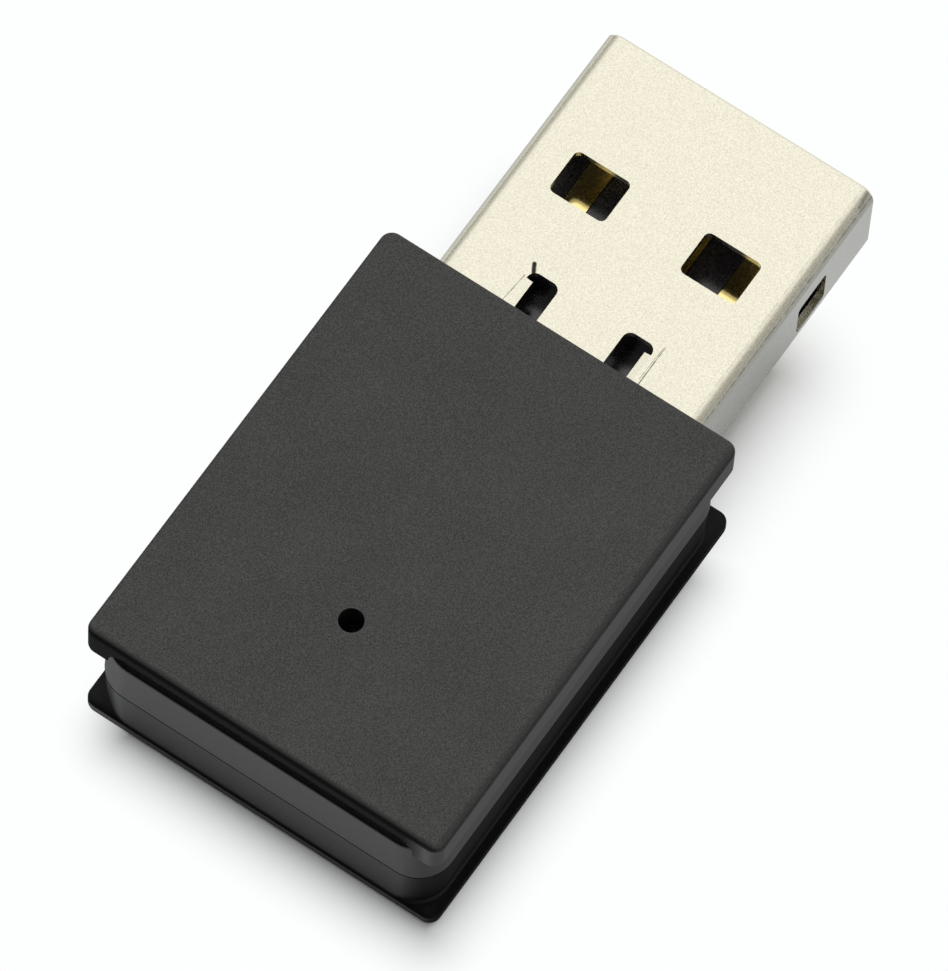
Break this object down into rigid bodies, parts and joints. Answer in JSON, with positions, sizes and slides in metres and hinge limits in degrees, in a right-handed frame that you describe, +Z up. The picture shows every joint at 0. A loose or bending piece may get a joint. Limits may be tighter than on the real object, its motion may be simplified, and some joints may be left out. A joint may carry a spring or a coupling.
{
  "type": "usb wireless adapter",
  "caption": "Small wireless adapter: black two-part housing with rounded flanges, recessed waist and lamp hole, and a nickel plated rectangular plug with windows on its front end.",
  "frame": {"origin": "bottom centre of the bounding box, on the plane that the housing rests on", "axes": "+X along the length towards the plug's tip, +Z up out of the lamp side, +Y completes the frame"},
  "size_m": [0.0322, 0.0158, 0.0072],
  "materials": {
    "top_plastic": "fine spark-eroded grain, satin",
    "bottom_plastic": "fine spark-eroded grain, satin",
    "plug_nickel": "nickel plated, satin with fine mottling",
    "insulator_plastic": "smooth moulded",
    "contact_gold": "gold plated, smooth",
    "board_laminate": "green lacquer over glass cloth",
    "copper": "bare copper, gold flashed",
    "solder": "bright solder",
    "chip_resin": "fine moulded resin",
    "crystal_metal": "bright metal lid",
    "leg_tin": "tinned legs",
    "lamp_resin": "clear resin, unlit",
    "capacitor_ceramic": "fired ceramic, matt",
    "resistor_ceramic": "fired ceramic with dark glaze",
    "ferrite": "sintered, matt",
    "filter_ceramic": "white fired ceramic"
  },
  "bodies": {
    "root": {"top_cover": "top_plastic", "bottom_cover": "bottom_plastic", "plug_shell": "plug_nickel", "plug_insulator": "insulator_plastic", "contact_power": "contact_gold", "contact_data_minus": "contact_gold", "contact_data_plus": "contact_gold", "contact_ground": "contact_gold", "circuit_board": "board_laminate", "copper_pads": "copper", "antenna_trace": "copper", "solder_joints": "solder", "radio_chip": "chip_resin", "crystal_can": "crystal_metal", "memory_chip": "chip_resin", "memory_legs": "leg_tin", "status_lamp": "lamp_resin", "capacitors": "capacitor_ceramic", "resistors": "resistor_ceramic", "ferrite_bead": "ferrite", "band_filter": "filter_ceramic"}
  },
  "joints": []
}
